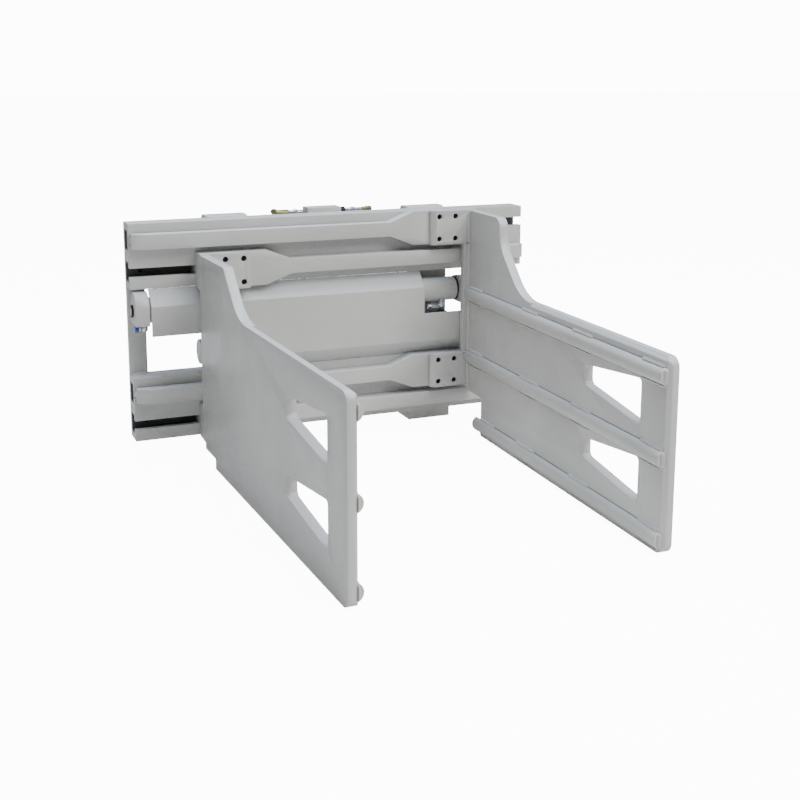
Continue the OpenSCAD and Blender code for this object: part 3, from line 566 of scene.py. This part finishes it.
@dataclass
class ArmWelds:
    """Weld beads of one arm: stitched ribs, the plate on its blocks, the web and the rod lug."""

    body: str
    side: int
    toe: float = math.radians(1.5)
    leg: float = 4.5 * MM
    rib_leg: float = 4.5 * MM
    tip_leg: float = 7 * MM
    gap_w: float = 1.1 * MM
    gap_d: float = 1.2 * MM
    gap_sink: float = 0.5 * MM
    gap_lap: float = 2 * MM
    end_gap: float = 3 * MM
    stitches: dict[str, tuple[tuple[float, float], ...]] = field(
        default_factory=lambda: {
            "top": ((0.060, 0.144), (0.359, 0.437), (0.600, 0.686), (0.877, 0.958)),
            "middle": ((0.060, 0.150), (0.355, 0.448), (0.601, 0.688), (0.879, 0.958)),
            "bottom": ((0.140, 0.224), (0.341, 0.435), (0.600, 0.686), (0.881, 0.958)),
        }
    )

    def __post_init__(self) -> None:
        """Reads the arm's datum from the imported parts: the inner face at the blocks' front plane."""
        self.block_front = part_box(self.node("upper_block"))[0].y
        self.rail_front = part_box("upper_rail")[0].y
        self.web_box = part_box(self.node("web"))
        self.inner_x = max(abs(corner.x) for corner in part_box(self.node("rib_top")))
        self.start = self.rail_front - self.block_front

    def node(self, name: str) -> str:
        """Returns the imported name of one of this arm's parts."""
        return f"{self.body.split('_')[0]}_{name}"

    def on_plate(self, s: float, z: float, off: float = 0.0) -> np.ndarray:
        """Finds a point on the arm's inner face.

        Args:
            s: Distance along the arm from the front of the rails.
            z: Height.
            off: Distance off the face, towards the other arm.

        Returns:
            The point, with the arm's lean towards its tip counted.
        """
        d = s - self.start
        x = self.inner_x - d * math.sin(self.toe) - off * math.cos(self.toe)
        y = self.block_front - d * math.cos(self.toe) + off * math.sin(self.toe)
        return np.array((self.side * x, y, z))

    @property
    def inward(self) -> np.ndarray:
        """Direction off the inner face."""
        return np.array((-self.side * math.cos(self.toe), math.sin(self.toe), 0.0))

    def rib_beads(self) -> list[Bead]:
        """Lays the stitch welds along both edges of each rib and round its front end."""
        beads = []
        for number, (rib, runs) in enumerate(self.stitches.items()):
            low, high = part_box(self.node(f"rib_{rib}"))
            for edge, up in ((high.z, 1.0), (low.z, -1.0)):
                for k, (a, b) in enumerate(runs):
                    path = np.array([self.on_plate(a, edge), self.on_plate(b, edge)])
                    beads.append(Bead(path, unit(0, 0, up), self.inward, self.rib_leg, 10 * number + k))
            tip = (self.rail_front - low.y) / math.cos(self.toe)
            ends = (low.z + self.gap_lap, high.z - self.gap_lap)
            path = np.array([self.on_plate(tip, z) for z in ends])
            beads.append(Bead(path, self.forward, self.inward, self.tip_leg, 50 + number))
        return beads

    @property
    def forward(self) -> np.ndarray:
        """Direction along the arm towards its tip."""
        return np.array((-self.side * math.sin(self.toe), -math.cos(self.toe), 0.0))

    def corner_beads(self) -> list[Bead]:
        """Lays the beads that join the plate, blocks, web and rod lug."""
        beads = []
        inward = unit(-self.side, 0, 0)
        front = unit(0, -1, 0)
        x = self.side * self.inner_x
        for k, part in enumerate(("upper_block", "lower_block")):
            low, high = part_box(self.node(part))
            ends = (low.z + self.end_gap, high.z - self.end_gap)
            path = np.array([(x, self.block_front, z) for z in ends])
            beads.append(Bead(path, inward, front, self.leg, 70 + k))
        low, high = self.web_box
        path = np.array([(x, self.block_front, low.z), (x, self.block_front, high.z)])
        beads.append(Bead(path, inward, front, self.leg, 80))
        web_x = low.x if self.side > 0 else high.x
        for k, (z, up) in enumerate(((low.z, 1.0), (high.z, -1.0))):
            path = np.array([(web_x, self.block_front, z), (x, self.block_front, z)])
            beads.append(Bead(path, unit(0, 0, up), front, 0.6 * self.leg, 84 + k))
        lug_low, lug_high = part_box(self.node("rod_lug"))
        for k, (lug_x, way) in enumerate(((lug_low.x, -1.0), (lug_high.x, 1.0))):
            ends = (lug_low.z + self.end_gap, lug_high.z - self.end_gap)
            path = np.array([(lug_x, high.y, z) for z in ends])
            beads.append(Bead(path, unit(way, 0, 0), unit(0, 1, 0), 0.7 * self.leg, 90 + k))
        return beads

    def paint_joint_shadows(self) -> bpy.types.Object:
        """Draws painted shadow along the ribs where no weld fills the joint, as slim raised dark strips."""
        points, faces = [], []
        for rib, runs in self.stitches.items():
            low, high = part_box(self.node(f"rib_{rib}"))
            gaps = [(a[1], b[0]) for a, b in zip(runs[:-1], runs[1:])]
            for edge, up in ((high.z, 1.0), (low.z, -1.0)):
                for a, b in gaps:
                    n = len(points)
                    sunk = edge - up * self.gap_sink
                    for s in (a - self.gap_lap, b + self.gap_lap):
                        points += [self.on_plate(s, sunk), self.on_plate(s, edge + up * self.gap_w)]
                        points += [self.on_plate(s, sunk, self.gap_d)]
                    faces += [[n, n + 1, n + 4, n + 3], [n + 1, n + 2, n + 5, n + 4]]
                    faces += [[n + 2, n, n + 3, n + 5]]
                    faces += [[n, n + 2, n + 1], [n + 3, n + 4, n + 5]]
        piece = mesh_piece(f"{self.body}_rib_joint_shadows", np.array(points), faces, smooth=False)
        face_outwards(piece)
        return piece

    def build(self) -> None:
        """Makes the arm's beads and the dark strips of painted joint shadow, and lets them ride on the arm.
        """
        welds = bead_mesh(f"{self.body}_welds", self.rib_beads() + self.corner_beads())
        joints = self.paint_joint_shadows()
        # The welds get the enamel; the joint strips get the dark finish of painted shadow
        for piece, finish in ((welds, ENAMEL), (joints, JOINT_SHADE_PAINT)):
            dress(piece, finish)
            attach(piece, self.body)
        LOG.info("welded %s", self.body)


@dataclass
class FrameWelds:
    """Weld beads of the frame: uprights and stiles between the rails, hooks and base brackets."""

    leg: float = 5 * MM
    hook_leg: float = 4 * MM
    inset: float = 2 * MM
    bracket_low: float = 4 * MM
    bracket_high: float = 30 * MM

    def ends_of(self, node: str, seed: int) -> list[Bead]:
        """Lays beads across the front of a member where it meets both rails."""
        low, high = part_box(node)
        beads = []
        for k, (z, up) in enumerate(((low.z, 1.0), (high.z, -1.0))):
            path = np.array([(low.x + self.inset, low.y, z), (high.x - self.inset, low.y, z)])
            beads.append(Bead(path, unit(0, -1, 0), unit(0, 0, up), self.leg, seed + k))
        return beads

    def along_top(self, node: str, rail: str, seed: int) -> list[Bead]:
        """Lays a bead where a hook's front meets the rail's top edge."""
        low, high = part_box(node)
        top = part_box(rail)[1].z
        path = np.array([(low.x + self.inset, low.y, top), (high.x - self.inset, low.y, top)])
        return [Bead(path, unit(0, -1, 0), unit(0, 0, 1), self.hook_leg, seed)]

    def bracket_sides(self, node: str, seed: int) -> list[Bead]:
        """Lays upright beads where a base bracket meets its upright."""
        low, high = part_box(node)
        beads = []
        for k, (x, way) in enumerate(((low.x, -1.0), (high.x, 1.0))):
            ends = (low.z + self.bracket_low, high.z - self.bracket_high)
            path = np.array([(x, high.y, z) for z in ends])
            beads.append(Bead(path, unit(way, 0, 0), unit(0, -1, 0), 0.6 * self.leg, seed + k))
        return beads

    def build(self) -> None:
        """Makes the frame's beads and lets them ride on the frame."""
        beads: list[Bead] = []
        for k, node in enumerate(("left_upright", "right_upright", "left_stile", "right_stile")):
            beads += self.ends_of(node, 100 + 4 * k)
        for k, node in enumerate(("left_upper_hook", "right_upper_hook")):
            beads += self.along_top(node, "upper_rail", 130 + k)
        for k, node in enumerate(("upper_base_bracket", "lower_base_bracket")):
            beads += self.bracket_sides(node, 140 + 4 * k)
        piece = bead_mesh("frame_welds", beads)
        dress(piece, ENAMEL)
        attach(piece, "frame")
        LOG.info("welded the frame")


# ---- Studio ----


@dataclass
class Studio:
    """Camera, floor and soft light."""

    eye: tuple[float, float, float] = (-1.0163, -2.9037, 0.3911)
    yaw: float = math.radians(22.62)
    pitch: float = math.radians(10.97)
    roll: float = math.radians(0.13)
    focal: float = 55.60
    shift: float = -0.125
    floor_tone: str = "#fbfbfa"
    glow: float = 12.0
    half_floor: float = 30.0
    floor_gap: float = 0.5 * MM
    room_light: tuple[float, float] = (0.33, 14.0)

    def camera(self) -> None:
        """Places the camera in front of and above the arms, a little to their left."""
        data = bpy.data.cameras.new("camera")
        data.sensor_width = 36.0
        data.lens = self.focal
        data.shift_y = self.shift
        data.clip_start, data.clip_end = 0.05, 60.0
        lens = bpy.data.objects.new("camera", data)
        bpy.context.scene.collection.objects.link(lens)
        level = math.cos(self.pitch)
        ahead = Vector((math.sin(self.yaw) * level, math.cos(self.yaw) * level, -math.sin(self.pitch)))
        right = Vector((math.cos(self.yaw), -math.sin(self.yaw), 0.0))
        turned = Matrix((right, right.cross(ahead), -ahead)).transposed().to_4x4()
        rolled = turned @ Matrix.Rotation(self.roll, 4, "Z")
        lens.matrix_world = Matrix.Translation(Vector(self.eye)) @ rolled
        bpy.context.scene.camera = lens

    def area(
        self, name: str, place: Sequence[float], size: float, power: float, tint: str = "#ffffff"
    ) -> None:
        """Adds one square soft light that faces the middle of the object.

        Args:
            name: The light's name.
            place: Where it stands.
            size: Length of its side.
            power: Its power in watts.
            tint: Its colour.
        """
        target = (0.0, -0.4, -0.25)
        data = bpy.data.lights.new(name, "AREA")
        data.size = size
        data.energy = power
        data.color = srgb(tint)[:3]
        lamp = bpy.data.objects.new(name, data)
        bpy.context.scene.collection.objects.link(lamp)
        lamp.location = place
        lamp.rotation_euler = (Vector(target) - Vector(place)).to_track_quat("-Z", "Y").to_euler()

    def floor(self, height: float) -> None:
        """Lays a wide plain floor at that height, which looks near white to the eye."""
        half = self.half_floor
        signs = ((-1, -1), (1, -1), (1, 1), (-1, 1))
        corners = np.array([(half * x, half * y, height) for x, y in signs])
        ground = mesh_piece("floor", corners, [(0, 1, 2, 3)], smooth=False)
        material = bpy.data.materials.new("studio_floor")
        material.use_nodes = True
        tree = material.node_tree
        shader = tree.nodes["Principled BSDF"]
        shader.inputs["Base Color"].default_value = srgb(self.floor_tone)
        shader.inputs["Roughness"].default_value = 0.9
        shader.inputs["Emission Color"].default_value = srgb(self.floor_tone)
        seen = add_node(tree, "ShaderNodeLightPath").outputs["Is Camera Ray"]
        tree.links.new(ramp(tree, seen, 0.0, 1.0, (0.0, self.glow)), shader.inputs["Emission Strength"])
        ground.data.materials.append(material)
        ground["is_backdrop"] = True

    def sky(self) -> None:
        """Fills the room with even white light: softer on the object than in the background."""
        world = bpy.data.worlds.new("studio")
        bpy.context.scene.world = world
        world.use_nodes = True
        tree = world.node_tree
        shader = tree.nodes["Background"]
        shader.inputs["Color"].default_value = srgb("#f5f8fc")
        seen = add_node(tree, "ShaderNodeLightPath").outputs["Is Camera Ray"]
        tree.links.new(ramp(tree, seen, 0.0, 1.0, self.room_light), shader.inputs["Strength"])

    def build(self) -> None:
        """Sets up the whole studio round the object."""
        low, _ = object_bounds()
        self.floor(low.z - self.floor_gap)
        self.sky()
        self.area("key", (1.6, -3.2, 3.0), 2.4, 205.0)
        self.area("top", (-0.2, -0.2, 3.2), 3.0, 150.0, "#e9f1fc")
        self.area("fill", (-4.0, -1.5, 1.2), 3.0, 3.0, "#d2e3f8")
        LOG.info("studio ready")


def main() -> None:
    """Builds the studio and the clamp."""
    logging.basicConfig(level=logging.INFO, format="%(name)s: %(message)s")
    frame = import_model()
    studio = Studio()
    studio.camera()
    SteelWork(frame).build()
    ArmWelds("right_arm", 1).build()
    ArmWelds("left_arm", -1).build()
    FrameWelds().build()
    studio.build()


if __name__ == "__main__":
    main()
